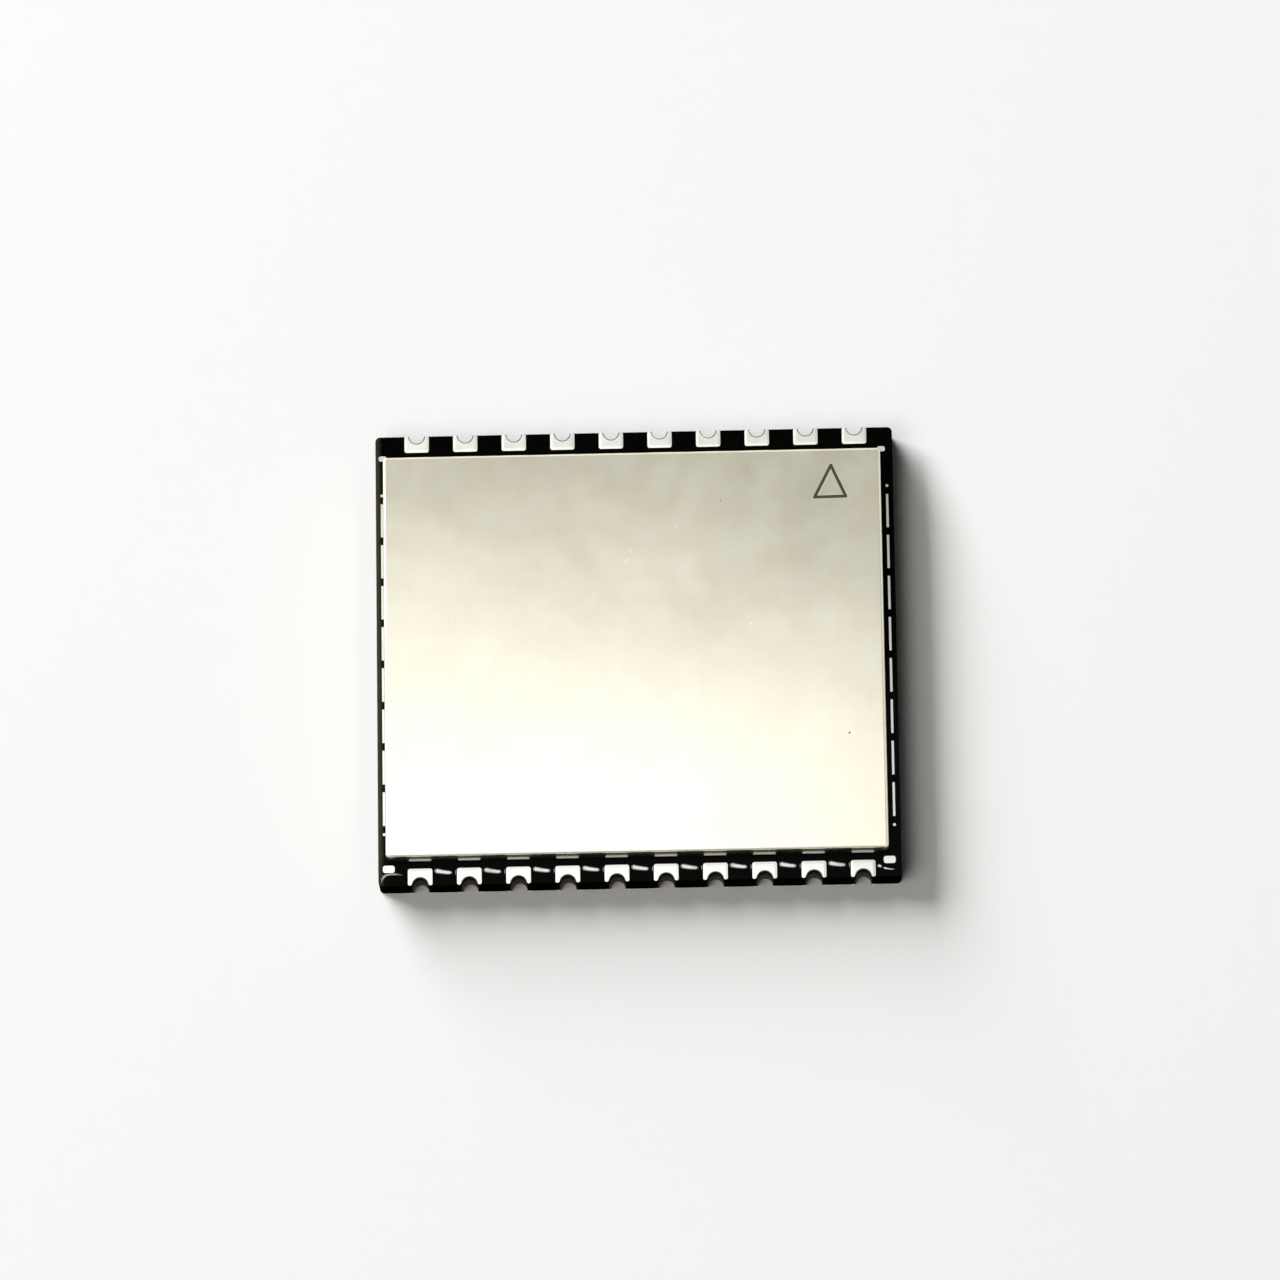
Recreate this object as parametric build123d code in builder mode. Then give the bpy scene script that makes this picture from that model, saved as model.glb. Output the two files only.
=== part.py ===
# Shielded radio receiver module with half-hole contacts along two edges.
# Millimetres. +X runs along the contact rows, +Y towards the back row, +Z up.
# The origin is the middle of the underside, which is the face that is soldered down.
import os

from build123d import *

os.makedirs("parts", exist_ok=True)

# Contact rows: the standard pitch sets the size of everything else
contact_pitch = 2.54
contacts_per_row = 10
row_end_margin = 2.07
row_offset_x = 0.09
land_width = 1.27
land_length = 0.88
land_corner_radius = 0.12
land_tip_bevel = 0.06
land_mouth_bevel = 0.1
land_thickness = 0.05
half_hole_radius = 0.39
plating_thickness = 0.05

# Board
board_width = (contacts_per_row - 1) * contact_pitch + 2 * row_end_margin
board_depth = 24.15
board_thickness = 1.6
board_corner_radius = 0.25

# Bare ground strips on the board beside the shield can
side_strip_count = 8
side_strip_gap = 0.42
side_strip_end_gap = 3.42
side_strip_pitch = (board_depth - 2 * side_strip_end_gap + side_strip_gap) / side_strip_count
side_strip_length = side_strip_pitch - side_strip_gap
side_strip_width = 0.12
side_strip_inset = 0.26
side_strip_shift_y = -0.23
end_dot_radius = 0.08
end_dot_sides = 8
end_dot_gap = 0.46
foot_strip_length = 1.14
foot_strip_width = 0.06
strip_thickness = 0.05

# Bare lands near the four corners of the board: the back two are smaller and follow the can's back wall
corner_pad_inset_x = 0.27
corner_pad_radius = 0.12
front_pad_width = 0.61
front_pad_depth = 0.38
front_pad_inset = 0.69
front_pad_shift_x = -0.03
back_pad_width = 0.42
back_pad_depth = 0.28
back_pad_wall_gap = 0.02

# Components under the can: length along X, depth along Y, height above the board
solder_gap = 0.05
terminal_height = 0.2
terminal_length = 0.4
terminal_reach = 0.05
terminal_width = 0.25
terminal_corner_gap = 0.1
terminal_clear_of_corner = terminal_length - terminal_reach + terminal_corner_gap
corner_mark_size = 0.25
corner_mark_inset = 0.3
corner_mark_depth = 0.05
package_lid_inset = 0.2
package_lid_height = 0.1
end_cap_length = 0.22
end_cap_proud = 0.02
part_gap = 0.5
radio_row_wall_gap = 0.7
processor_size = (5.0, 5.0, 0.55)
receiver_size = (4.0, 4.0, 0.55)
amplifier_size = (2.0, 2.0, 0.55)
filter_size = (2.5, 2.0, 0.6)
oscillator_size = (2.5, 2.0, 0.6)
flash_size = (4.0, 3.0, 0.55)
comparator_size = (2.0, 3.0, 0.55)
regulator_size = (2.0, 2.0, 0.55)
power_inductor_size = (2.0, 1.6, 0.6)
chip_part_size = (1.0, 0.5, 0.5)
large_chip_part_size = (1.6, 0.8, 0.5)
processor_terminals = 8
receiver_terminals = 4
amplifier_terminals = 3
filter_terminals = 3
oscillator_terminals = 2
flash_terminals = 4
comparator_terminals = 4
regulator_terminals = 3
component_sizes = (
    processor_size, receiver_size, amplifier_size, filter_size, oscillator_size, flash_size,
    comparator_size, regulator_size, power_inductor_size, chip_part_size, large_chip_part_size,
)

# Shield can: one drawn sheet, tall enough for the tallest component
sheet_thickness = 0.15
can_headroom = 0.15
can_bend_radius = 0.15
can_corner_radius = 0.17
can_side_clearance = 0.15
can_end_gap = 0.466
can_offset_x = -0.11
can_width = board_width - 2 * (side_strip_inset + side_strip_width + can_side_clearance)
can_depth = board_depth - 2 * (land_length + can_end_gap)
can_height = max(size[2] for size in component_sizes) + can_headroom + sheet_thickness

# Places that the pieces share
board_back = board_depth / 2
board_front = -board_depth / 2
can_left = can_offset_x - can_width / 2 + sheet_thickness
can_back = can_depth / 2 - sheet_thickness
first_contact_x = row_offset_x - (contacts_per_row - 1) * contact_pitch / 2
contact_places = [first_contact_x + i * contact_pitch for i in range(contacts_per_row)]


def save(part, name):
    """Label a finished piece and write it under its own name."""
    part.label = name
    export_step(part, f"parts/{name}.step")


# Circuit board: half holes along both rows, and a shallow seat below for each contact's lower land
with BuildPart() as circuit_board:
    with BuildSketch() as board_outline:
        RectangleRounded(board_width, board_depth, board_corner_radius)
        with Locations(*[(x, y) for x in contact_places for y in (board_front, board_back)]):
            Circle(half_hole_radius + plating_thickness, mode=Mode.SUBTRACT)
    extrude(amount=board_thickness)
    with BuildSketch() as lower_seats:
        for x in contact_places:
            with Locations((x, board_front + land_length / 2), (x, board_back - land_length / 2)):
                Rectangle(land_width, land_length)
    extrude(amount=land_thickness, mode=Mode.SUBTRACT)
save(circuit_board.part, "circuit_board")


def build_contact(x, edge_y, inward):
    """One plated contact: an upper land, a half barrel in the board's edge and a lower land, as one."""
    land_y = edge_y + inward * land_length / 2
    with BuildPart() as contact:
        with BuildSketch(Plane.XY.offset(board_thickness)) as upper_land:
            with Locations((x, land_y)):
                Rectangle(land_width, land_length)
            corners = upper_land.vertices().sort_by(Axis.Y, reverse=inward > 0)
            fillet(corners[:2], radius=land_corner_radius)
            tips = upper_land.vertices().sort_by(Axis.Y, reverse=inward < 0)
            chamfer(tips[:2], length=land_tip_bevel)
            with Locations((x, edge_y)):
                Circle(half_hole_radius, mode=Mode.SUBTRACT)
            mouth = upper_land.vertices().sort_by_distance((x, edge_y, board_thickness))
            chamfer(mouth[:2], length=land_mouth_bevel)
        extrude(amount=land_thickness)
        with BuildSketch() as lower_land:
            with Locations((x, land_y)):
                Rectangle(land_width, land_length)
            with Locations((x, edge_y)):
                Circle(half_hole_radius, mode=Mode.SUBTRACT)
        extrude(amount=land_thickness)
        with BuildSketch() as barrel:
            with Locations((x, edge_y)):
                Circle(half_hole_radius + plating_thickness)
                Circle(half_hole_radius, mode=Mode.SUBTRACT)
            with Locations((x, edge_y - inward * land_length / 2)):
                Rectangle(land_width, land_length, mode=Mode.SUBTRACT)
        extrude(amount=board_thickness)
    return contact.part


# Contacts, numbered anticlockwise from the marked corner: along the back to the left, then along the front
back_row = [(x, board_back, -1) for x in reversed(contact_places)]
front_row = [(x, board_front, 1) for x in contact_places]
for number, place in enumerate(back_row + front_row, start=1):
    save(build_contact(*place), f"contact_{number:02d}")


# Shield can: outside form with rounded corners and bends, hollowed to the sheet and open below
with BuildPart() as shield_can:
    with BuildSketch(Plane.XY.offset(board_thickness)) as can_outline:
        with Locations((can_offset_x, 0)):
            RectangleRounded(can_width, can_depth, can_corner_radius)
    extrude(amount=can_height)
    fillet(shield_can.faces().sort_by(Axis.Z)[-1].edges(), radius=can_bend_radius)
    with BuildSketch(Plane.XY.offset(board_thickness)) as can_inside:
        with Locations((can_offset_x, 0)):
            Rectangle(can_width - 2 * sheet_thickness, can_depth - 2 * sheet_thickness)
    extrude(amount=can_height - sheet_thickness, mode=Mode.SUBTRACT)
save(shield_can.part, "shield_can")


# Side strips: one bare copper strip after another beside each long wall of the can, and a dot past each end
dots_apart = board_depth - 2 * (side_strip_end_gap - end_dot_gap)
for name, side in (("ground_strips_left", -1), ("ground_strips_right", 1)):
    strip_x = side * (board_width / 2 - side_strip_inset - side_strip_width / 2)
    with BuildPart() as side_strips:
        with BuildSketch(Plane.XY.offset(board_thickness)) as side_strip_outlines:
            with Locations((strip_x, side_strip_shift_y)):
                with GridLocations(0, side_strip_pitch, 1, side_strip_count):
                    Rectangle(side_strip_width, side_strip_length)
                with GridLocations(0, dots_apart, 1, 2):
                    RegularPolygon(end_dot_radius, end_dot_sides)
        extrude(amount=strip_thickness)
    save(side_strips.part, name)


# Foot strips: one bare strip in line with each contact, against the foot of the can's wall
for name, side in (("ground_strips_front", -1), ("ground_strips_back", 1)):
    strip_y = side * (can_depth + foot_strip_width) / 2
    with BuildPart() as foot_strips:
        with BuildSketch(Plane.XY.offset(board_thickness)) as foot_strip_outlines:
            with Locations(*[(x, strip_y) for x in contact_places]):
                Rectangle(foot_strip_length, foot_strip_width)
        extrude(amount=strip_thickness)
    save(foot_strips.part, name)


# Corner pads, numbered anticlockwise from the front left
front_pad_y = board_front + front_pad_inset + front_pad_depth / 2
back_pad_y = can_depth / 2 + back_pad_wall_gap + back_pad_depth / 2
front_pad = (front_pad_width, front_pad_depth, front_pad_shift_x, front_pad_y)
back_pad = (back_pad_width, back_pad_depth, can_offset_x, back_pad_y)
corner_pads = [(-1, front_pad), (1, front_pad), (1, back_pad), (-1, back_pad)]
for number, (side, (pad_width, pad_depth, shift_x, pad_y)) in enumerate(corner_pads, start=1):
    pad_x = shift_x + side * (board_width / 2 - corner_pad_inset_x - pad_width / 2)
    with BuildPart() as corner_pad:
        with BuildSketch(Plane.XY.offset(board_thickness)) as pad_outline:
            with Locations((pad_x, pad_y)):
                RectangleRounded(pad_width, pad_depth, corner_pad_radius)
        extrude(amount=strip_thickness)
    save(corner_pad.part, f"corner_pad_{number}")


def build_chip(centre, size, terminals_x, terminals_y=0, metal_lid=False):
    """A leadless package: its body, the terminals round its foot, and a corner mark or a metal lid."""
    length, depth, height = size
    x, y = centre
    body_height = height - package_lid_height if metal_lid else height
    with BuildPart() as chip:
        with BuildSketch(Plane.XY.offset(board_thickness + solder_gap)) as body_outline:
            with Locations((x, y)):
                Rectangle(length, depth)
        extrude(amount=body_height - solder_gap)
        with BuildSketch(Plane.XY.offset(board_thickness)) as terminal_outlines:
            row_x = length - 2 * terminal_clear_of_corner - terminal_width
            row_y = depth - 2 * terminal_clear_of_corner - terminal_width
            across_x = length + 2 * terminal_reach - terminal_length
            across_y = depth + 2 * terminal_reach - terminal_length
            with Locations((x, y)):
                with GridLocations(row_x / (terminals_x - 1), across_y, terminals_x, 2):
                    Rectangle(terminal_width, terminal_length)
                if terminals_y:
                    with GridLocations(across_x, row_y / (terminals_y - 1), 2, terminals_y):
                        Rectangle(terminal_length, terminal_width)
        extrude(amount=terminal_height)
        with BuildSketch(Plane.XY.offset(board_thickness + body_height)) as top_detail:
            if metal_lid:
                with Locations((x, y)):
                    Rectangle(length - 2 * package_lid_inset, depth - 2 * package_lid_inset)
            else:
                mark_to_edge = corner_mark_inset + corner_mark_size / 2
                with Locations((x - length / 2 + mark_to_edge, y + depth / 2 - mark_to_edge)):
                    Rectangle(corner_mark_size, corner_mark_size)
        if metal_lid:
            extrude(amount=package_lid_height)
        else:
            extrude(amount=-corner_mark_depth, mode=Mode.SUBTRACT)
    return chip.part


def build_chip_part(centre, size):
    """A capacitor, inductor or resistor: a small block with a solder cap on each end."""
    length, depth, height = size
    x, y = centre
    with BuildPart() as chip_part:
        with BuildSketch(Plane.XY.offset(board_thickness + end_cap_proud)) as block_outline:
            with Locations((x, y)):
                Rectangle(length - end_cap_length, depth - 2 * end_cap_proud)
        extrude(amount=height - 2 * end_cap_proud)
        with BuildSketch(Plane.XY.offset(board_thickness)) as cap_outlines:
            with Locations((x, y)):
                with GridLocations(length - end_cap_length, 0, 2, 1):
                    Rectangle(end_cap_length, depth)
        extrude(amount=height)
    return chip_part.part


def place_row(first_left, middle_y, sizes):
    """Centres of parts that stand in a row from the left, each a part gap from the one before."""
    centres = []
    left = first_left
    for size in sizes:
        centres.append((left + size[0] / 2, middle_y))
        left += size[0] + part_gap
    return centres


# Rows under the can, from the back wall forwards: radio chips, chip parts, logic chips, chip parts, supply
row_left = can_left + radio_row_wall_gap
radio_y = can_back - radio_row_wall_gap - receiver_size[1] / 2
radio_parts_y = radio_y - receiver_size[1] / 2 - part_gap - large_chip_part_size[1] / 2
logic_y = radio_parts_y - large_chip_part_size[1] / 2 - part_gap - processor_size[1] / 2
logic_parts_y = logic_y - processor_size[1] / 2 - part_gap - large_chip_part_size[1] / 2
supply_y = logic_parts_y - large_chip_part_size[1] / 2 - part_gap - comparator_size[1] / 2

radio_sizes = (chip_part_size, filter_size, amplifier_size, filter_size, amplifier_size, receiver_size)
radio_places = place_row(row_left, radio_y, radio_sizes)
save(build_chip_part(radio_places[0], chip_part_size), "surge_diode")
save(build_chip(radio_places[1], filter_size, filter_terminals, metal_lid=True), "input_filter")
save(build_chip(radio_places[2], amplifier_size, amplifier_terminals), "input_amplifier")
save(build_chip(radio_places[3], filter_size, filter_terminals, metal_lid=True), "second_filter")
save(build_chip(radio_places[4], amplifier_size, amplifier_terminals), "second_amplifier")
save(build_chip(radio_places[5], receiver_size, receiver_terminals, receiver_terminals), "receiver_chip")

logic_sizes = (oscillator_size, processor_size, flash_size)
logic_places = place_row(row_left, logic_y, logic_sizes)
save(build_chip(logic_places[0], oscillator_size, oscillator_terminals, metal_lid=True), "clock_oscillator")
save(build_chip(logic_places[1], processor_size, processor_terminals, processor_terminals), "processor")
save(build_chip(logic_places[2], flash_size, flash_terminals), "flash_memory")

supply_sizes = (regulator_size, regulator_size, power_inductor_size, comparator_size)
supply_places = place_row(row_left, supply_y, supply_sizes)
save(build_chip(supply_places[0], regulator_size, regulator_terminals), "digital_regulator")
save(build_chip(supply_places[1], regulator_size, regulator_terminals), "radio_regulator")
save(build_chip_part(supply_places[2], power_inductor_size), "power_inductor")
save(build_chip(supply_places[3], comparator_size, comparator_terminals), "comparator")

# Chip parts: inductors and small capacitors in front of the radio chips
radio_part_names = [f"inductor_{i:02d}" for i in range(1, 4)]
radio_part_names += [f"capacitor_{i:02d}" for i in range(1, 5)]
radio_part_sizes = [chip_part_size for name in radio_part_names]
for name, centre in zip(radio_part_names, place_row(row_left, radio_parts_y, radio_part_sizes)):
    save(build_chip_part(centre, chip_part_size), name)

# Large capacitors and then resistors in front of the logic chips
large_part_names = [f"capacitor_{i:02d}" for i in range(5, 9)]
resistor_names = [f"resistor_{i:02d}" for i in range(1, 5)]
logic_part_sizes = [large_chip_part_size for name in large_part_names]
logic_part_sizes += [chip_part_size for name in resistor_names]
logic_part_places = place_row(row_left, logic_parts_y, logic_part_sizes)
for name, centre, size in zip(large_part_names + resistor_names, logic_part_places, logic_part_sizes):
    save(build_chip_part(centre, size), name)
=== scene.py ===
import math
from functools import reduce

import bmesh
import bpy
from bpy.props import FloatProperty, FloatVectorProperty, PointerProperty
from bpy.types import Operator, Panel, PropertyGroup
from mathutils import Matrix, Vector


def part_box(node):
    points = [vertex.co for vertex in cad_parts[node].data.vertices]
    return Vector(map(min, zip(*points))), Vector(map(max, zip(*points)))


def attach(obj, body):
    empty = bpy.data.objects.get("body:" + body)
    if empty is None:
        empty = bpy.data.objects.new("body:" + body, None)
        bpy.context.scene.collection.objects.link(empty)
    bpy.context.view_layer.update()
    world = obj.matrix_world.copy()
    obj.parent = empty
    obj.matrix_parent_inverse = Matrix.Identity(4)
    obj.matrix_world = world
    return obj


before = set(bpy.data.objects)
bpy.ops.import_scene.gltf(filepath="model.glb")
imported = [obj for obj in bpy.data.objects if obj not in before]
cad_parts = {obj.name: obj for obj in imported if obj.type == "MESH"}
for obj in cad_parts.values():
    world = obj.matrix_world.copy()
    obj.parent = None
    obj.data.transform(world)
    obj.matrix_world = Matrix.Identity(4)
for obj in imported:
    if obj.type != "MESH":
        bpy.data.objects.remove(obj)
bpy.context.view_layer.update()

bl_info = {
    "name": "Shielded radio receiver module",
    "version": (1, 0, 0),
    "blender": (4, 5, 0),
    "location": "3D View > Sidebar > Receiver",
    "description": "Finishes the receiver module's solids and lights them on a pale table",
    "category": "Object",
}

MM = 0.001
CONTACTS = sorted(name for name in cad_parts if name.startswith("contact_"))
CORNER_PADS = sorted(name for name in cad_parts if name.startswith("corner_pad_"))
GROUND_STRIPS = sorted(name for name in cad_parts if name.startswith("ground_strips_"))
CHIPS = (
    "input_amplifier", "second_amplifier", "receiver_chip", "processor", "flash_memory",
    "digital_regulator", "radio_regulator", "comparator",
)
FOUR_SIDED_CHIPS = ("processor", "receiver_chip")
LIDDED_CHIPS = ("input_filter", "second_filter", "clock_oscillator")
CAPPED_BLOCKS = ("surge_diode", "power_inductor")


def box_mm(node):
    """A solid's lowest and highest corners, in millimetres."""
    low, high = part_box(node)
    return low / MM, high / MM


BOARD_LOW, BOARD_HIGH = box_mm("circuit_board")
CAN_LOW, CAN_HIGH = box_mm("shield_can")
LAND_LOW, LAND_HIGH = box_mm("contact_11")
LAND_HALF_WIDTH = (LAND_HIGH.x - LAND_LOW.x) / 2
LAND_LENGTH = LAND_HIGH.y - LAND_LOW.y
FIRST_CONTACT_X = (LAND_LOW.x + LAND_HIGH.x) / 2
CONTACT_PITCH = box_mm("contact_12")[0].x - LAND_LOW.x
CONTACTS_PER_ROW = len(CONTACTS) // 2
ROW_HALF_LENGTH = (CONTACTS_PER_ROW - 1) * CONTACT_PITCH / 2
ROW_MIDDLE_X = FIRST_CONTACT_X + ROW_HALF_LENGTH
# The top of the mask, on which the can stands, and the radius of the board's half holes
MASK_TOP = CAN_LOW.z
HALF_HOLE_RADIUS = 0.39


class ReceiverCanSettings(PropertyGroup):
    sheet_colour: FloatVectorProperty(
        name="Sheet colour", description="Colour of the tinned sheet of the shield can",
        subtype="COLOR", size=3, min=0.0, max=1.0, default=(0.775, 0.735, 0.583))
    sheet_roughness: FloatProperty(
        name="Sheet roughness", description="How satin the sheet is",
        min=0.0, max=1.0, default=0.30, subtype="FACTOR")
    mark_colour: FloatVectorProperty(
        name="Mark colour", description="Colour of the burnt-in corner mark",
        subtype="COLOR", size=3, min=0.0, max=1.0, default=(0.022, 0.019, 0.009))
    mark_stroke: FloatProperty(
        name="Mark stroke", description="Width of the corner mark's line, in millimetres",
        min=0.02, max=0.5, default=0.17)


class ReceiverBoardSettings(PropertyGroup):
    mask_colour: FloatVectorProperty(
        name="Mask colour", description="Colour of the gloss black solder mask",
        subtype="COLOR", size=3, min=0.0, max=1.0, default=(0.0010, 0.0009, 0.0006))
    mask_roughness: FloatProperty(
        name="Mask roughness", description="How blurred the reflections in the mask are",
        min=0.0, max=1.0, default=0.12, subtype="FACTOR")
    laminate_colour: FloatVectorProperty(
        name="Laminate colour", description="Colour of the board's cut sides",
        subtype="COLOR", size=3, min=0.0, max=1.0, default=(0.0011, 0.0009, 0.0006))
    ridge_height: FloatProperty(
        name="Ridge height", description="How far the mask stands up over a track, in millimetres",
        min=0.005, max=0.1, default=0.022)


class ReceiverTinSettings(PropertyGroup):
    tin_colour: FloatVectorProperty(
        name="Tin colour", description="Colour of the tinned contacts and lands",
        subtype="COLOR", size=3, min=0.0, max=1.0, default=(0.745, 0.74, 0.688))
    tin_roughness: FloatProperty(
        name="Tin roughness", description="How blurred the reflections in the tin are",
        min=0.0, max=1.0, default=0.36, subtype="FACTOR")
    side_strip_tone: FloatProperty(
        name="Side strip tone", description="Brightness of the dull strips beside the can",
        min=0.0, max=1.0, default=0.92, subtype="FACTOR")
    foot_strip_tone: FloatProperty(
        name="Foot strip tone", description="Brightness of the dull strips at the can's foot",
        min=0.0, max=1.0, default=0.46, subtype="FACTOR")
    copper_colour: FloatVectorProperty(
        name="Copper colour", description="Colour of bare copper where a contact was cut through",
        subtype="COLOR", size=3, min=0.0, max=1.0, default=(0.62, 0.33, 0.19))


class ReceiverStageSettings(PropertyGroup):
    floor_colour: FloatVectorProperty(
        name="Floor colour", description="Colour of the table",
        subtype="COLOR", size=3, min=0.0, max=1.0, default=(0.93, 0.93, 0.925))
    key_strength: FloatProperty(
        name="Key strength", description="Power of the large lamp behind on the left, in watts",
        min=0.0, max=500.0, default=43.0)
    key_roll: FloatProperty(
        name="Key roll", description="How far the large lamp is rolled about its aim, in degrees",
        min=-180.0, max=180.0, default=33.0)
    side_strength: FloatProperty(
        name="Side strength", description="Power of the softer lamp in front on the left, in watts",
        min=0.0, max=500.0, default=8.3)
    panel_strength: FloatProperty(
        name="Panel strength", description="Power of the small panel overhead, in watts",
        min=0.0, max=50.0, default=0.0058)
    fill_strength: FloatProperty(
        name="Fill strength", description="Brightness of the room on matt surfaces",
        min=0.0, max=1.0, default=0.03, subtype="FACTOR")
    room_strength: FloatProperty(
        name="Room strength", description="Brightness of the room as metal shows it",
        min=0.0, max=2.0, default=1.0)
    lens: FloatProperty(
        name="Lens", description="Focal length of the camera, in millimetres",
        min=10.0, max=500.0, default=253.406)


class Field:
    """A shader socket that can stand in a Python expression."""

    def __init__(self, tree, socket):
        self.tree = tree
        self.socket = socket

    def _work(self, operation, other=None, swapped=False, clamp=False):
        values = [self] if other is None else [self, other]
        if swapped:
            values.reverse()
        sockets = dict(enumerate(values))
        if self.socket.type == "VECTOR":
            return self.tree.node("ShaderNodeVectorMath", {"operation": operation}, sockets)
        settings = {"operation": operation, "use_clamp": clamp}
        return self.tree.node("ShaderNodeMath", settings, sockets)

    def __add__(self, other):
        return self._work("ADD", other)

    __radd__ = __add__

    def __sub__(self, other):
        return self._work("SUBTRACT", other)

    def __rsub__(self, other):
        return self._work("SUBTRACT", other, swapped=True)

    def __mul__(self, other):
        return self._work("MULTIPLY", other)

    __rmul__ = __mul__

    def __truediv__(self, other):
        return self._work("DIVIDE", other)

    def __rtruediv__(self, other):
        return self._work("DIVIDE", other, swapped=True)

    def __abs__(self):
        return self._work("ABSOLUTE")

    def __neg__(self):
        return self * -1.0

    def lower(self, other):
        """The lower of two values."""
        return self._work("MINIMUM", other)

    def higher(self, other):
        """The higher of two values."""
        return self._work("MAXIMUM", other)

    def root(self):
        return self._work("SQRT")

    def wrapped(self, low, high):
        """The value brought back between two limits, again and again."""
        return self.tree.node("ShaderNodeMath", {"operation": "WRAP"}, {0: self, 1: high, 2: low})

    def rise(self, low, high):
        """0 below one value and 1 above another, smooth between them."""
        return self.tree.node(
            "ShaderNodeMapRange", {"interpolation_type": "SMOOTHSTEP"},
            {"Value": self, "From Min": low, "From Max": high, "To Min": 0.0, "To Max": 1.0})

    def fall(self, low, high):
        """1 below one value and 0 above another, smooth between them."""
        return 1.0 - self.rise(low, high)


class ShaderTree:
    """A material or world with one way to add a node to it."""

    def __init__(self, owner):
        self.owner = owner
        owner.use_nodes = True
        self.nodes = owner.node_tree.nodes
        self.links = owner.node_tree.links

    def feed(self, socket, value):
        """Give a socket a link, a number or a list of numbers."""
        if isinstance(value, Field):
            self.links.new(value.socket, socket)
            return
        wanted = getattr(socket.default_value, "__len__", None)
        if wanted is None:
            socket.default_value = value
            return
        values = list(value) if hasattr(value, "__len__") else [value] * wanted()
        if len(values) < wanted():
            values.append(1.0)
        socket.default_value = values

    def node(self, kind, settings=None, sockets=None, output=0):
        """Add a node: its settings first, then its sockets. One output comes back."""
        made = self.nodes.new(kind)
        for name, value in (settings or {}).items():
            setattr(made, name, value)
        for name, value in (sockets or {}).items():
            self.feed(made.inputs[name], value)
        return Field(self, made.outputs[output])

    def mix(self, factor, first, second):
        """One colour going over to another."""
        return self.node(
            "ShaderNodeMix", {"data_type": "RGBA"}, {0: factor, 6: first, 7: second}, output=2)

    def tint(self, colour, amount):
        """A colour made lighter or darker by a value around 1."""
        grey = self.node("ShaderNodeCombineColor", None, {0: amount, 1: amount, 2: amount})
        return self.node(
            "ShaderNodeMix", {"data_type": "RGBA", "blend_type": "MULTIPLY"},
            {0: 1.0, 6: colour, 7: grey}, output=2)

    def noise(self, place, scale, detail=2.0, roughness=0.5):
        """Soft noise from 0 to 1, with its scale in waves per millimetre."""
        return self.node(
            "ShaderNodeTexNoise", None,
            {"Vector": place, "Scale": scale, "Detail": detail, "Roughness": roughness})

    def place(self, stretch=(1.0, 1.0, 1.0)):
        """Where a point is on the object, in millimetres."""
        here = self.node("ShaderNodeTexCoord", output="Object")
        return here * tuple(value / MM for value in stretch)

    def parts(self, vector):
        """The three parts of a vector."""
        first = self.node("ShaderNodeSeparateXYZ", None, {0: vector}, output=0)
        separate = first.socket.node
        return first, Field(self, separate.outputs[1]), Field(self, separate.outputs[2])

    def facing(self):
        """The three parts of the direction in which the surface faces."""
        return self.parts(self.node("ShaderNodeNewGeometry", output="True Normal"))

    def bump(self, height, strength=1.0):
        """A surface raised by a height in millimetres."""
        return self.node(
            "ShaderNodeBump", None, {"Height": height, "Strength": strength, "Distance": MM},
            output="Normal")


def new_finish(name):
    """A new material, its shader and the tree to write it in."""
    material = bpy.data.materials.new(name)
    tree = ShaderTree(material)
    surface = next(node for node in tree.nodes if node.type == "BSDF_PRINCIPLED")
    return tree, surface


def finish_surface(tree, surface, sockets):
    """Feed the shader's sockets, and give the material back."""
    for name, value in sockets.items():
        tree.feed(surface.inputs[name], value)
    return tree.owner


def dress(node, material):
    """Put a finish on a solid of the frame."""
    for material_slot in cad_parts[node].material_slots:
        material_slot.material = material


def distance_to(x, y, point):
    """How far a place on the top is from a point."""
    across = x - point[0]
    along = y - point[1]
    return (across * across + along * along).root()


def distance_to_stretch(x, y, start, end):
    """How far a place on the top is from a straight line between two points."""
    run = (end[0] - start[0], end[1] - start[1])
    length_squared = run[0] ** 2 + run[1] ** 2
    across = x - start[0]
    along = y - start[1]
    share = (across * run[0] + along * run[1]) / length_squared
    share = share.higher(0.0).lower(1.0)
    off_x = across - share * run[0]
    off_y = along - share * run[1]
    return (off_x * off_x + off_y * off_y).root()


def from_contact(x):
    """How far to the right of the nearest contact's middle a place is."""
    return (x - FIRST_CONTACT_X).wrapped(-CONTACT_PITCH / 2, CONTACT_PITCH / 2)


def land_depth(x, y):
    """How far inside a contact's upper land a place is, and negative outside."""
    from_side = LAND_HALF_WIDTH - abs(from_contact(x))
    from_row_end = ROW_HALF_LENGTH + LAND_HALF_WIDTH - abs(x - ROW_MIDDLE_X)
    from_inner_end = abs(y) - (BOARD_HIGH.y - LAND_LENGTH)
    return from_side.lower(from_inner_end).lower(from_row_end)


def hole_distance(x, y):
    """How far a place is from the middle of the nearest contact's half hole."""
    across = from_contact(x)
    along = BOARD_HIGH.y - abs(y)
    return (across * across + along * along).root()


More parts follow.
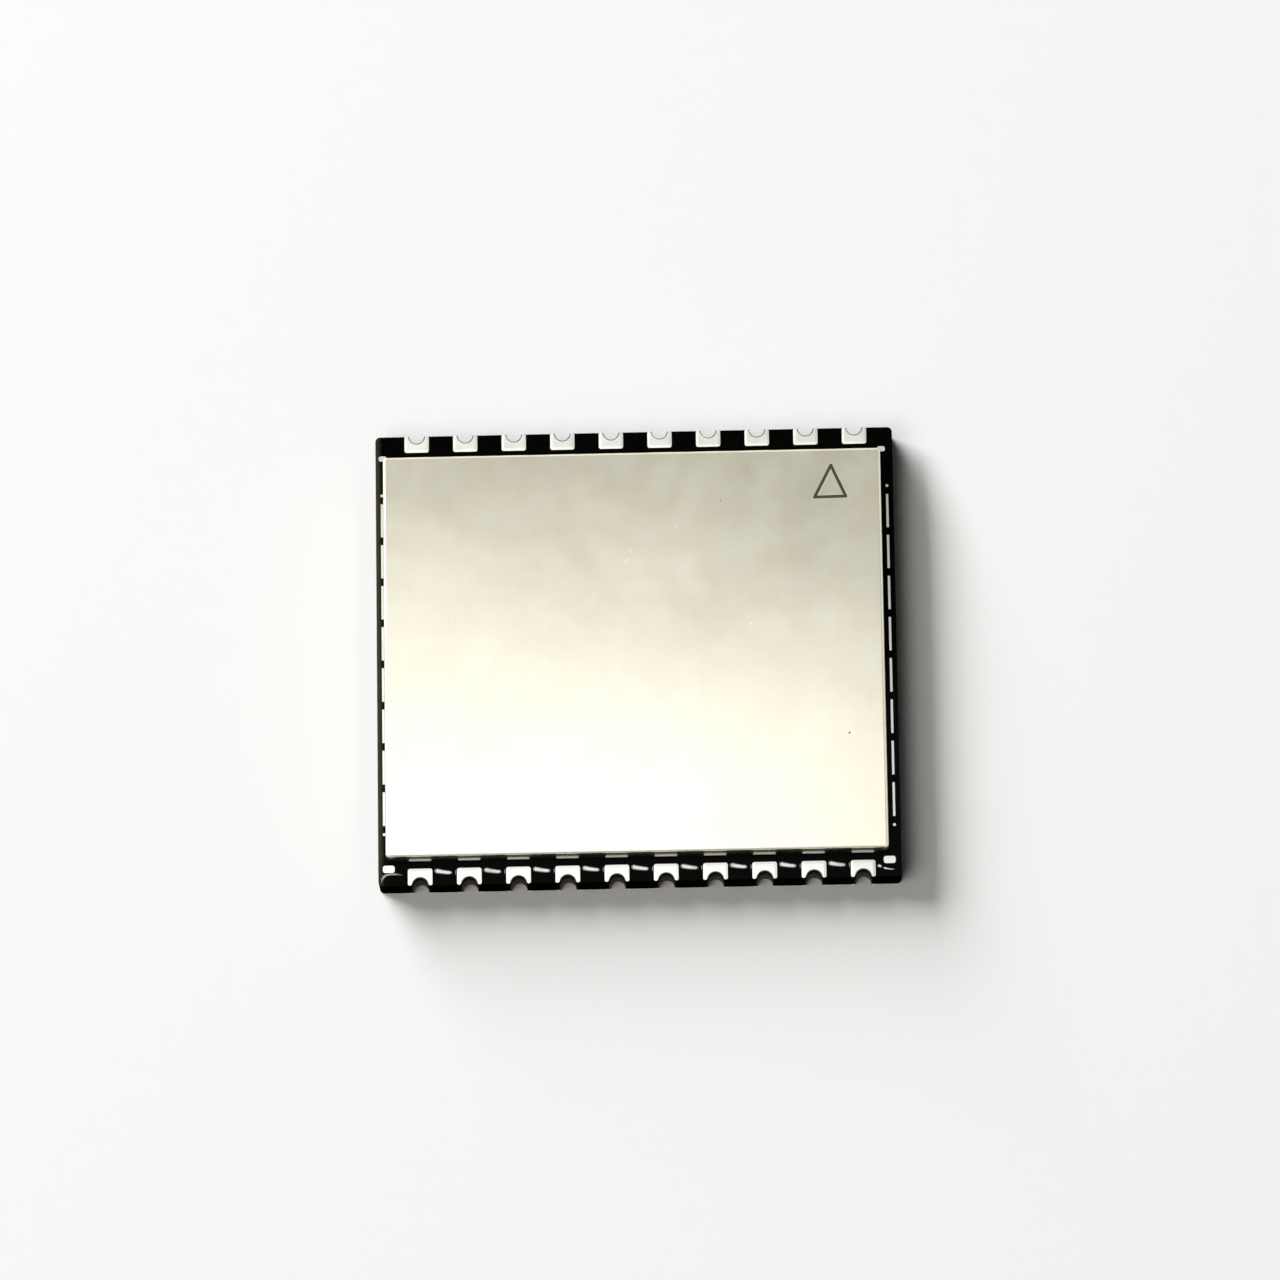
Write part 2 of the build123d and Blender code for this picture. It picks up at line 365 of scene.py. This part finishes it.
# Second tones of the finishes
HANDLED_SHEET = (0.77, 0.738, 0.612)
# Painted highlight on the lid's front left
PAINTED_HIGHLIGHT_SHEET = (0.762, 0.744, 0.672)
SPECK_BROWN = (0.12, 0.10, 0.06)
FLECK_WHITE = (0.97, 0.97, 0.94)
BARE_LAMINATE = (0.006, 0.005, 0.003)
MASK_DUST = (0.08, 0.08, 0.075)
LEFT_EDGE_SHEEN = (0.034, 0.032, 0.020)
# Painted glow and painted highlight on the raised tracks
PAINTED_RIDGE_GLOW = (0.05, 0.048, 0.043)
PAINTED_RIDGE_HIGHLIGHT = (0.67, 0.66, 0.62)
# Painted light on the back row of contacts
PAINTED_LIGHT_BACK_ROW_TIN = (0.90, 0.905, 0.825)
# Painted shade in the contacts' half holes
PAINTED_BARREL_SHADE = (0.048, 0.041, 0.031)
COMPOUND_BLACK = (0.020, 0.020, 0.021)
CERAMIC_BASES = ((0.10, 0.088, 0.062), (0.13, 0.115, 0.085))
BLOCK_BODIES = {
    "capacitor": ((0.25, 0.15, 0.075), (0.34, 0.21, 0.11)),
    "inductor": ((0.55, 0.56, 0.60), (0.68, 0.69, 0.72)),
    "resistor": ((0.018, 0.018, 0.020), (0.035, 0.035, 0.04)),
    "block": ((0.035, 0.035, 0.037), (0.05, 0.05, 0.052)),
}

# Where the corner mark, the flecks and the specks lie on the can, in millimetres
MARK_CORNERS = ((10.285, 9.80), (9.41, 8.09), (11.03, 8.11))
DARK_SPECKS = ((4.50, 8.00, 0.055), (10.96, -4.62, 0.075), (-9.4, -7.9, 0.03), (7.7, 2.1, 0.03))
PALE_FLECKS = (
    ((2.10, 6.66), (2.28, 6.52)), ((-0.30, 5.48), (-0.14, 5.32)), ((-0.56, 4.80), (-0.36, 4.94)),
    ((5.9, 1.3), (6.02, 1.38)),
)


def satin_sheet(settings):
    """Rolled tinned sheet: satin, a little clouded, with a burnt-in mark, specks and flecks."""
    tree, surface = new_finish("satin_tinned_sheet")
    place = tree.place()
    x, y, _ = tree.parts(place)
    facing_up = tree.facing()[2].rise(0.80, 0.97)
    clouds = tree.noise(place, 0.16, detail=3.0, roughness=0.6)
    handling = tree.noise(place, 0.7, detail=4.0, roughness=0.65)
    rolled = tree.noise(tree.place((7.0, 0.22, 1.0)), 1.0, detail=3.0, roughness=0.7)
    cross_rolled = tree.noise(tree.place((0.18, 6.0, 1.0)), 1.0, detail=2.0, roughness=0.6)
    grain = tree.noise(place, 16.0, detail=2.0, roughness=0.7)

    sides = zip(MARK_CORNERS, MARK_CORNERS[1:] + MARK_CORNERS[:1])
    strokes = [distance_to_stretch(x, y, start, end) for start, end in sides]
    nearest_stroke = reduce(Field.lower, strokes)
    half_stroke = settings.mark_stroke / 2
    mark = nearest_stroke.fall(half_stroke - 0.015, half_stroke + 0.02) * facing_up

    specks = [
        distance_to(x, y, (speck_x, speck_y)).fall(radius * 0.5, radius)
        for speck_x, speck_y, radius in DARK_SPECKS]
    flecks = [
        distance_to_stretch(x, y, start, end).fall(0.015, 0.05)
        for start, end in PALE_FLECKS]
    speck = reduce(Field.higher, specks) * facing_up
    fleck = reduce(Field.higher, flecks) * facing_up
    dust = tree.noise(place, 5.5, detail=1.0, roughness=0.4).rise(0.80, 0.84) * 0.35

    tone = 0.86 + clouds * 0.14 + handling * 0.11 + rolled * 0.05 + cross_rolled * 0.03
    warm = tree.mix(handling.rise(0.35, 0.75), settings.sheet_colour, HANDLED_SHEET)
    # Painted highlight: the sheet is made whiter towards the lid's front left part. Follows
    # the photo, whose lid is whiter in the front left part, probably from overexposure
    painted_highlight = y.fall(-9.0, 2.0) * x.fall(-4.0, 15.0)
    warm = tree.mix(painted_highlight * 0.85, warm, PAINTED_HIGHLIGHT_SHEET)
    colour = tree.tint(warm, tone)
    colour = tree.mix((dust * facing_up).higher(speck * 0.95), colour, SPECK_BROWN)
    colour = tree.mix(fleck * 0.8, colour, FLECK_WHITE)
    colour = tree.mix(mark, colour, settings.mark_colour)

    base = settings.sheet_roughness
    roughness = base - 0.05 + clouds * 0.06 + handling * 0.05 + grain * 0.03
    roughness = roughness + mark * 0.3 + speck * 0.3 - (1.0 - facing_up) * 0.04
    waves = tree.noise(place, 0.09, detail=1.0) * 0.035
    height = waves + rolled * 0.0007 + grain * 0.0005 - mark * 0.006
    return finish_surface(tree, surface, {
        "Base Color": colour,
        "Metallic": 1.0 - mark.higher(speck) * 0.9,
        "Roughness": roughness,
        "Normal": tree.bump(height),
    })


def gloss_mask(settings):
    """Gloss black solder mask above and below, and the cut laminate with its plies at the sides."""
    tree, surface = new_finish("gloss_black_mask")
    place = tree.place()
    x, y, z = tree.parts(place)
    flat = abs(tree.facing()[2]).rise(0.4, 0.6)
    depth = land_depth(x, y)
    above = z.rise(MASK_TOP / 2 - 0.1, MASK_TOP / 2 + 0.1)

    # The mask stops short of every land, and stands up over the copper beside it
    opening = depth.rise(-0.065, -0.045) * above
    pour_edge = abs(y) - (BOARD_HIGH.y - 0.42)
    pour = pour_edge.fall(-0.05, 0.05) * depth.fall(-0.22, -0.12)
    peel = tree.noise(place, 2.6, detail=2.0, roughness=0.55)
    fine = tree.noise(place, 11.0, detail=2.0)
    dust = tree.noise(place, 8.0, detail=1.0, roughness=0.4).rise(0.80, 0.84)

    plies = tree.noise(tree.place((0.0, 0.0, 5.5)), 1.0, detail=1.0)
    threads = tree.noise(tree.place((6.0, 6.0, 22.0)), 1.0, detail=3.0, roughness=0.7)
    cut = tree.tint(settings.laminate_colour, 0.55 + plies * 0.9 + threads * 0.7)
    gloss = tree.tint(settings.mask_colour, 0.85 + fine * 0.3)
    gloss = tree.mix(opening, gloss, BARE_LAMINATE)
    gloss = tree.mix(dust * 0.25, gloss, MASK_DUST)
    # Follows the photo, whose left edge shines a dull olive, probably from reflection
    sheen = (x - BOARD_LOW.x).fall(0.05, 0.36) * above
    gloss = tree.mix(sheen, gloss, LEFT_EDGE_SHEEN)
    colour = tree.mix(flat, cut, gloss)

    glossy = settings.mask_roughness + peel * 0.05 + opening * 0.35 + dust * 0.3
    roughness = glossy * flat + (0.42 + threads * 0.25) * (1.0 - flat)
    top_height = pour * 0.018 - opening * 0.02 + peel * 0.0035 + fine * 0.0003
    height = top_height * flat + threads * 0.006 * (1.0 - flat)
    return finish_surface(tree, surface, {
        "Base Color": colour,
        "Roughness": roughness,
        "Specular IOR Level": 0.0,
        "Coat Weight": flat * (1.0 - opening * 0.8),
        "Coat Roughness": settings.mask_roughness,
        "Coat IOR": 1.09,
        "Normal": tree.bump(height),
    })


def ridge_gloss(settings):
    """Gloss mask over a raised track, coloured lighter than the board's mask, with a pale, partly
    metallic crest as a painted highlight.
    """
    tree, surface = new_finish("mask_ridge_painted_highlight")
    z = tree.parts(tree.place())[2]
    run_out = tree.noise(tree.place((2.4, 1.0, 1.0)), 1.0, detail=2.0)
    crest = z.rise(MASK_TOP + settings.ridge_height * 0.35, MASK_TOP + settings.ridge_height * 0.85)
    painted_crest = crest * (0.80 + run_out.rise(0.30, 0.60) * 0.20)
    # Painted highlight: the crest is coloured pale and partly metallic, the rest of the ridge
    # lighter than the board's mask
    colour = tree.mix(painted_crest, PAINTED_RIDGE_GLOW, PAINTED_RIDGE_HIGHLIGHT)
    return finish_surface(tree, surface, {
        "Base Color": colour,
        "Metallic": painted_crest * 0.75,
        "Roughness": 0.30 - painted_crest * 0.06 + run_out * 0.05,
        "Coat Weight": 0.6,
    })


def tinned_copper(name, settings, tone=1.0, contact=False):
    """Tin over copper: bright, a little crowned and pitted, with copper where a contact was cut."""
    tree, surface = new_finish(name)
    place = tree.place()
    x, y, z = tree.parts(place)
    pools = tree.noise(place, 1.7, detail=3.0, roughness=0.6)
    pits = tree.noise(place, 14.0, detail=3.0, roughness=0.65)
    stain = tree.noise(place, 0.8, detail=2.0).rise(0.62, 0.85)
    tin = settings.tin_colour
    if contact:
        # Painted light: the back row of contacts is coloured brighter than the front
        # row. Follows the photo, whose back row is brighter, probably from reflection
        tin = tree.mix(y.rise(-1.0, 1.0), tin, PAINTED_LIGHT_BACK_ROW_TIN)
    colour = tree.tint(tin, tone * (0.95 + pools * 0.10 - stain * 0.10))
    roughness = settings.tin_roughness - 0.05 + pools * 0.08 + pits * 0.06
    height = pools * 0.006 + pits * 0.0012
    metallic = 1.0
    specular = 0.5
    if contact:
        up = tree.facing()[2].rise(0.6, 0.9)
        crown = land_depth(x, y).rise(0.0, 0.14)
        height = height + crown * up * 0.012
        cut_face = abs(tree.facing()[1]).rise(0.98, 0.995)
        cut_face = cut_face * abs(y).rise(BOARD_HIGH.y - 0.02, BOARD_HIGH.y - 0.005)
        colour = tree.mix(cut_face * 0.55, colour, settings.copper_colour)
        # Painted shade: the half holes' barrels and a thin lip round each are coloured dark and
        # made less metallic, most towards the top
        in_barrel = z.fall(MASK_TOP + 0.01, MASK_TOP + 0.03) * z.rise(0.02, 0.05)
        lip = hole_distance(x, y).fall(HALF_HOLE_RADIUS + 0.035, HALF_HOLE_RADIUS + 0.06)
        in_barrel = in_barrel.higher(lip * 0.9)
        drawn = tree.noise(tree.place((3.0, 3.0, 0.5)), 1.0, detail=3.0, roughness=0.7)
        mouth = z.rise(0.45, 1.35)
        painted_shade = tree.tint(PAINTED_BARREL_SHADE, (0.7 + drawn * 0.6) * (1.1 - mouth * 0.90))
        colour = tree.mix(in_barrel, colour, painted_shade)
        roughness = roughness + in_barrel * 0.06
        metallic = 1.0 - in_barrel * (0.35 + mouth * 0.60)
        specular = 0.0
        height = height + drawn * in_barrel * 0.008
    return finish_surface(tree, surface, {
        "Base Color": colour,
        "Metallic": metallic,
        "Roughness": roughness,
        "Specular IOR Level": specular,
        "Normal": tree.bump(height),
    })


def inside_box(x, y, low, high, margin):
    """1 within a box's plan, less a margin, and 0 outside it."""
    middle = (low + high) / 2
    half = (high - low) / 2
    beyond_x = abs(x - middle.x) - (half.x - margin[0])
    beyond_y = abs(y - middle.y) - (half.y - margin[1])
    return beyond_x.higher(beyond_y).fall(-0.004, 0.004)


def chip_finish(node, settings, metal_lid):
    """A leadless package: pitted black compound, tinned terminals, and a pale metal lid on some."""
    tree, surface = new_finish(f"{node}_finish")
    place = tree.place()
    x, y, z = tree.parts(place)
    low, high = box_mm(node)
    reach_x = 0.04 if node in FOUR_SIDED_CHIPS else -0.01
    terminal_top = z.fall(low.z + 0.19, low.z + 0.21)
    outside = 1.0 - inside_box(x, y, low, high, (reach_x, 0.048))
    standoff = z.fall(low.z + 0.045, low.z + 0.055)
    terminal = (outside * terminal_top).higher(standoff)
    grain = tree.noise(place, 20.0, detail=3.0, roughness=0.7)
    clouds = tree.noise(place, 1.1, detail=2.0)
    compound = tree.tint(COMPOUND_BLACK, 0.8 + grain * 0.3 + clouds * 0.2)
    body_metal = terminal
    if metal_lid:
        lid = z.rise(high.z - 0.11, high.z - 0.09)
        body_metal = terminal.higher(lid)
        compound = tree.mix(clouds, *CERAMIC_BASES)
    bright = tree.tint(settings.tin_colour, 0.82 + clouds * 0.16)
    return finish_surface(tree, surface, {
        "Base Color": tree.mix(body_metal, compound, bright),
        "Metallic": body_metal,
        "Roughness": 0.62 - body_metal * 0.30 + grain * 0.08,
        "Normal": tree.bump(grain * 0.004 * (1.0 - body_metal * 0.7)),
    })


def capped_block_finish(node, settings, body_colours, cap_length=0.22):
    """A chip part: a fired ceramic or moulded block between two tinned end caps."""
    tree, surface = new_finish(f"{node}_finish")
    place = tree.place()
    x, y, z = tree.parts(place)
    low, high = box_mm(node)
    from_middle = abs(x - (low.x + high.x) / 2)
    cap_start = (high.x - low.x) / 2 - cap_length
    cap = from_middle.rise(cap_start - 0.02, cap_start + 0.01)
    speckle = tree.noise(place, 12.0, detail=3.0, roughness=0.7)
    clouds = tree.noise(place, 1.8, detail=2.0)
    body = tree.mix(clouds * 0.6 + speckle * 0.4, body_colours[0], body_colours[1])
    solder = tree.tint(settings.tin_colour, 0.78 + clouds * 0.2)
    return finish_surface(tree, surface, {
        "Base Color": tree.mix(cap, body, solder),
        "Metallic": cap,
        "Roughness": 0.48 - cap * 0.12 + speckle * 0.12,
        "Normal": tree.bump(speckle * 0.003 + cap * clouds * 0.006),
    })


def smooth_piece(mesh, name, material):
    """Turn a finished bmesh into a smooth piece that rides on the frame."""
    bmesh.ops.recalc_face_normals(mesh, faces=mesh.faces)
    data = bpy.data.meshes.new(name)
    mesh.to_mesh(data)
    mesh.free()
    data.polygons.foreach_set("use_smooth", [True] * len(data.polygons))
    data.materials.append(material)
    piece = bpy.data.objects.new(name, data)
    bpy.context.scene.collection.objects.link(piece)
    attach(piece, "root")
    return piece


def ridge_line(start, sag, end, steps=18):
    """Points of a shallow curve from one place to another that dips in the middle."""
    points = []
    for i in range(steps + 1):
        t = i / steps
        dip = (1 - t) ** 2 * start[1] + 2 * t * (1 - t) * sag + t ** 2 * end[1]
        points.append((start[0] + (end[0] - start[0]) * t, dip))
    return points


# The lines of the raised tracks, in millimetres from the middle of a contact's land and the
# board's front edge, with their widths at the start and end and their share of the full height
TRACK = ridge_line((0.73, 0.80), 0.67, (1.68, 0.65))
TRACK_WIDTHS = (0.33, 0.23)
SLIVER = [(-0.70, 0.50 + 0.30 * k / 10) for k in range(11)]
SLIVER_WIDTHS = (0.05, 0.07)
SLIVER_SHARE = 0.8
LAST_STUB = ridge_line((0.74, 0.62), 0.56, (0.98, 0.50), steps=10)
LAST_STUB_WIDTHS = (0.20, 0.16)
LAST_TAIL = ridge_line((1.02, 0.47), 0.38, (1.62, 0.37))
LAST_TAIL_WIDTHS = (0.14, 0.05)

# The hooked track in the front left corner, in millimetres from the board's corner
CORNER_HOOK = (
    (0.17, 0.13), (0.18, 0.26), (0.22, 0.39), (0.30, 0.50), (0.42, 0.58),
    (0.57, 0.62), (0.74, 0.63), (0.92, 0.62), (1.12, 0.59), (1.30, 0.56),
)
CORNER_HOOK_WIDTHS = (0.16, 0.15)
CORNER_HOOK_SHARE = 0.80


def moved(line, contact):
    """A track's line beside one of the front contacts, counted from 0 at the left."""
    centre = FIRST_CONTACT_X + contact * CONTACT_PITCH
    return [(centre + x, BOARD_LOW.y + y) for x, y in line]


def add_ridge(mesh, points, widths, height, around=10):
    """Lay a rounded ridge of mask along points on the board, with its ends drawn in."""
    rows = []
    last = len(points) - 1
    for i, (x, y) in enumerate(points):
        ahead = points[min(i + 1, last)]
        behind = points[max(i - 1, 0)]
        along = Vector((ahead[0] - behind[0], ahead[1] - behind[1])).normalized()
        t = i / last
        half_width = (widths[0] + (widths[1] - widths[0]) * t) / 2
        end_share = min(t, 1 - t) * (last / 2.5)
        drawn_in = math.sqrt(min(1.0, end_share + 0.02))
        row = []
        for k in range(around + 1):
            across = 1.0 - 2.0 * k / around
            side = across * half_width * drawn_in
            rise = (1.0 - abs(across) ** 3) * height * drawn_in
            row.append(mesh.verts.new((
                (x - along.y * side) * MM, (y + along.x * side) * MM,
                (MASK_TOP - 0.004 + rise) * MM)))
        rows.append(row)
    for first, second in zip(rows, rows[1:]):
        for k in range(around):
            mesh.faces.new((first[k], first[k + 1], second[k + 1], second[k]))
        mesh.faces.new((first[around], first[0], second[0], second[around]))
    mesh.faces.new(rows[0])
    mesh.faces.new(list(reversed(rows[-1])))


class RECEIVER_OT_board(Operator):
    """Give the circuit board its gloss mask and cut sides"""

    bl_idname = "receiver.board"
    bl_label = "Finish the board"

    def execute(self, context):
        dress("circuit_board", gloss_mask(context.scene.receiver_board))
        return {"FINISHED"}


class RECEIVER_OT_contacts(Operator):
    """Tin the twenty half-hole contacts"""

    bl_idname = "receiver.contacts"
    bl_label = "Finish the contacts"

    def execute(self, context):
        if not CONTACTS:
            raise RuntimeError("the frame has no contacts")
        tin = tinned_copper("tinned_contact", context.scene.receiver_tin, contact=True)
        for node in CONTACTS:
            dress(node, tin)
        return {"FINISHED"}


class RECEIVER_OT_ground_lands(Operator):
    """Tin the ground strips beside the can and the four corner pads"""

    bl_idname = "receiver.ground_lands"
    bl_label = "Finish the ground lands"

    def execute(self, context):
        settings = context.scene.receiver_tin
        side_tin = tinned_copper("side_strip_tin", settings, tone=settings.side_strip_tone)
        foot_tin = tinned_copper("foot_strip_tin", settings, tone=settings.foot_strip_tone)
        for node in GROUND_STRIPS:
            at_the_side = node.endswith(("left", "right"))
            dress(node, side_tin if at_the_side else foot_tin)
        pad_tin = tinned_copper("corner_pad_tin", settings)
        for node in CORNER_PADS:
            dress(node, pad_tin)
        return {"FINISHED"}


class RECEIVER_OT_shield_can(Operator):
    """Give the shield can its satin tinned sheet and corner mark"""

    bl_idname = "receiver.shield_can"
    bl_label = "Finish the shield can"

    def execute(self, context):
        dress("shield_can", satin_sheet(context.scene.receiver_can))
        return {"FINISHED"}


class RECEIVER_OT_edge_tracks(Operator):
    """Raise the mask over the short tracks beside the front contacts and at the front corners"""

    bl_idname = "receiver.edge_tracks"
    bl_label = "Build the edge tracks"

    def execute(self, context):
        settings = context.scene.receiver_board
        height = settings.ridge_height
        mesh = bmesh.new()
        for i in range(CONTACTS_PER_ROW - 1):
            add_ridge(mesh, moved(TRACK, i), TRACK_WIDTHS, height)
            add_ridge(mesh, moved(SLIVER, i + 1), SLIVER_WIDTHS, height * SLIVER_SHARE)
        add_ridge(mesh, moved(LAST_STUB, CONTACTS_PER_ROW - 1), LAST_STUB_WIDTHS, height)
        add_ridge(mesh, moved(LAST_TAIL, CONTACTS_PER_ROW - 1), LAST_TAIL_WIDTHS, height)
        hook = [(BOARD_LOW.x + x, BOARD_LOW.y + y) for x, y in CORNER_HOOK]
        add_ridge(mesh, hook, CORNER_HOOK_WIDTHS, height * CORNER_HOOK_SHARE)
        smooth_piece(mesh, "edge_tracks", ridge_gloss(settings))
        return {"FINISHED"}


class RECEIVER_OT_chips(Operator):
    """Finish the packages under the can"""

    bl_idname = "receiver.chips"
    bl_label = "Finish the chips"

    def execute(self, context):
        settings = context.scene.receiver_tin
        for node in CHIPS:
            dress(node, chip_finish(node, settings, metal_lid=False))
        for node in LIDDED_CHIPS:
            dress(node, chip_finish(node, settings, metal_lid=True))
        return {"FINISHED"}


class RECEIVER_OT_chip_parts(Operator):
    """Finish the capacitors, inductors, resistors and other small blocks under the can"""

    bl_idname = "receiver.chip_parts"
    bl_label = "Finish the chip parts"

    def execute(self, context):
        settings = context.scene.receiver_tin
        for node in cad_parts:
            kind = "block" if node in CAPPED_BLOCKS else node.split("_")[0]
            if kind in BLOCK_BODIES:
                dress(node, capped_block_finish(node, settings, BLOCK_BODIES[kind]))
        return {"FINISHED"}


def aim(thing, towards):
    """Turn a lamp to look at a point."""
    direction = Vector(towards) - thing.location
    thing.rotation_euler = direction.to_track_quat("-Z", "Y").to_euler()


def add_lamp(name, place, towards, size, colour, power):
    """A soft rectangular lamp that the camera doesn't see."""
    light = bpy.data.lights.new(name, "AREA")
    light.shape = "RECTANGLE"
    light.size, light.size_y = size
    light.color = colour
    light.energy = power
    lamp = bpy.data.objects.new(name, light)
    lamp.location = place
    lamp.visible_camera = False
    bpy.context.scene.collection.objects.link(lamp)
    aim(lamp, towards)
    return lamp


def from_angles(azimuth, elevation, distance):
    """A place at a distance from the object, azimuth anticlockwise from +X."""
    azimuth, elevation = math.radians(azimuth), math.radians(elevation)
    flat = distance * math.cos(elevation)
    return flat * math.cos(azimuth), flat * math.sin(azimuth), distance * math.sin(elevation)


# Each lamp's azimuth and elevation in degrees and distance in metres, then its size and colour
KEY_ANGLES = (133.5, 24.1, 1.48)
KEY_SIZE = (1.39, 0.50)
KEY_COLOUR = (0.99, 1.0, 1.01)
SIDE_ANGLES = (220.0, 56.0, 1.5)
SIDE_SIZE = (1.1, 1.1)
SIDE_COLOUR = (1.0, 0.97, 0.90)

# The small panel hangs level over the lid, which mirrors it
PANEL_PLACE = (-0.0045, -0.0034, 0.047)
PANEL_SIZE = (0.044, 0.036)
PANEL_COLOUR = (0.98, 1.0, 1.04)
PANEL_TURN = -13.0

# How bright metal shows the room overhead, how far the room dims low in front, and how
# bright the camera sees it
OVERHEAD_LEVEL = 0.36
FRONT_GAP_DEPTH = 0.9
BACKDROP_LEVEL = 0.95
ROOM_COLOUR = (1.0, 1.0, 0.99)

# The camera's own axes and its place in millimetres, fitted to the photo
CAMERA_RIGHT = Vector((0.99960459, -0.01435080, -0.02418107))
CAMERA_UP = Vector((0.02022740, 0.96435143, 0.26385066))
CAMERA_BACK = Vector((0.01953258, -0.26423545, 0.96426039))
CAMERA_PLACE = Vector((9.326586, -122.837643, 452.845494)) * MM
TABLE_HALF_SIZE = 4.0
TABLE_DROP = 0.00001


def table_top(colour):
    """Pale matt table, with a trace of fine grain."""
    tree, surface = new_finish("pale_table")
    place = tree.place()
    grain = tree.noise(place, 0.8, detail=3.0)
    return finish_surface(tree, surface, {
        "Base Color": tree.tint(colour, 0.995 + grain * 0.01),
        "Roughness": 0.75,
        "Specular IOR Level": 0.2,
    })


def add_table(settings):
    """The pale table that the module lies on."""
    mesh = bmesh.new()
    bmesh.ops.create_grid(mesh, x_segments=8, y_segments=8, size=TABLE_HALF_SIZE)
    data = bpy.data.meshes.new("table")
    mesh.to_mesh(data)
    mesh.free()
    data.materials.append(table_top(settings.floor_colour))
    floor = bpy.data.objects.new("table", data)
    floor.location = (0.0, 0.0, -TABLE_DROP)
    bpy.context.scene.collection.objects.link(floor)


def add_lamps(settings):
    """The large lamp behind, the softer one in front, and the small panel overhead."""
    centre = (0.0, 0.0, 0.0)
    key = add_lamp(
        "key", from_angles(*KEY_ANGLES), centre, KEY_SIZE, KEY_COLOUR, settings.key_strength)
    key.rotation_euler.rotate_axis("Z", math.radians(settings.key_roll))
    add_lamp(
        "side", from_angles(*SIDE_ANGLES), centre, SIDE_SIZE, SIDE_COLOUR, settings.side_strength)
    below_panel = (PANEL_PLACE[0], PANEL_PLACE[1], 0.0)
    panel = add_lamp(
        "panel", PANEL_PLACE, below_panel, PANEL_SIZE, PANEL_COLOUR, settings.panel_strength)
    panel.rotation_euler = (0.0, 0.0, math.radians(PANEL_TURN))
    panel.visible_diffuse = False


def add_room(settings):
    """A room that metal mirrors, a plain backdrop for the camera and a weak fill for the rest."""
    world = bpy.data.worlds.new("room")
    bpy.context.scene.world = world
    tree = ShaderTree(world)
    seen = tree.node("ShaderNodeLightPath", output="Is Camera Ray")
    path = seen.socket.node
    glossy = Field(tree, path.outputs["Is Glossy Ray"])
    clear = Field(tree, path.outputs["Is Transmission Ray"])
    shown = glossy.higher(clear)
    _, along, upward = tree.parts(tree.node("ShaderNodeTexCoord", output="Generated"))
    low_walls = upward.fall(0.64, 0.93)
    front_gap = along.fall(-0.97, -0.86)
    room = OVERHEAD_LEVEL + low_walls * (1.0 - OVERHEAD_LEVEL)
    room = room * (1.0 - front_gap * FRONT_GAP_DEPTH) * settings.room_strength
    strength = (1.0 - shown) * settings.fill_strength + shown * room
    strength = seen * BACKDROP_LEVEL + (1.0 - seen) * strength
    background = next(node for node in tree.nodes if node.type == "BACKGROUND")
    tree.feed(background.inputs["Color"], ROOM_COLOUR)
    tree.feed(background.inputs["Strength"], strength)


def add_camera(settings):
    """The camera at the photo's angle."""
    data = bpy.data.cameras.new("camera")
    data.sensor_width = 36.0
    data.lens = settings.lens
    data.clip_start = 0.01
    data.clip_end = 50.0
    camera = bpy.data.objects.new("camera", data)
    turned = Matrix((CAMERA_RIGHT, CAMERA_UP, CAMERA_BACK)).transposed().to_4x4()
    camera.matrix_world = Matrix.Translation(CAMERA_PLACE) @ turned
    bpy.context.scene.collection.objects.link(camera)
    bpy.context.scene.camera = camera


class RECEIVER_OT_stage(Operator):
    """Build the table, the lamps, the room and the camera"""

    bl_idname = "receiver.stage"
    bl_label = "Build the stage"

    def execute(self, context):
        settings = context.scene.receiver_stage
        add_table(settings)
        add_lamps(settings)
        add_room(settings)
        add_camera(settings)
        context.scene.view_settings.view_transform = "Standard"
        return {"FINISHED"}


class RECEIVER_PT_panel(Panel):
    """Lists the steps and the settings of the receiver module"""

    bl_idname = "RECEIVER_PT_panel"
    bl_label = "Receiver module"
    bl_space_type = "VIEW_3D"
    bl_region_type = "UI"
    bl_category = "Receiver"

    def draw(self, context):
        for operator in OPERATORS:
            self.layout.operator(operator.bl_idname)
        for group_name in SETTINGS:
            group = getattr(context.scene, group_name)
            box = self.layout.box()
            for name in group.__annotations__:
                box.prop(group, name)


OPERATORS = (
    RECEIVER_OT_board, RECEIVER_OT_contacts, RECEIVER_OT_ground_lands, RECEIVER_OT_shield_can,
    RECEIVER_OT_edge_tracks, RECEIVER_OT_chips, RECEIVER_OT_chip_parts, RECEIVER_OT_stage,
)
SETTINGS = {
    "receiver_can": ReceiverCanSettings,
    "receiver_board": ReceiverBoardSettings,
    "receiver_tin": ReceiverTinSettings,
    "receiver_stage": ReceiverStageSettings,
}


def register():
    for group in SETTINGS.values():
        bpy.utils.register_class(group)
    for name, group in SETTINGS.items():
        setattr(bpy.types.Scene, name, PointerProperty(type=group))
    for kind in OPERATORS + (RECEIVER_PT_panel,):
        bpy.utils.register_class(kind)


def unregister():
    for kind in reversed(OPERATORS + (RECEIVER_PT_panel,)):
        bpy.utils.unregister_class(kind)
    for name, group in SETTINGS.items():
        delattr(bpy.types.Scene, name)
        bpy.utils.unregister_class(group)


def main():
    register()
    bpy.ops.receiver.board()
    bpy.ops.receiver.contacts()
    bpy.ops.receiver.ground_lands()
    bpy.ops.receiver.shield_can()
    bpy.ops.receiver.edge_tracks()
    bpy.ops.receiver.chips()
    bpy.ops.receiver.chip_parts()
    bpy.ops.receiver.stage()


if __name__ == "__main__":
    main()
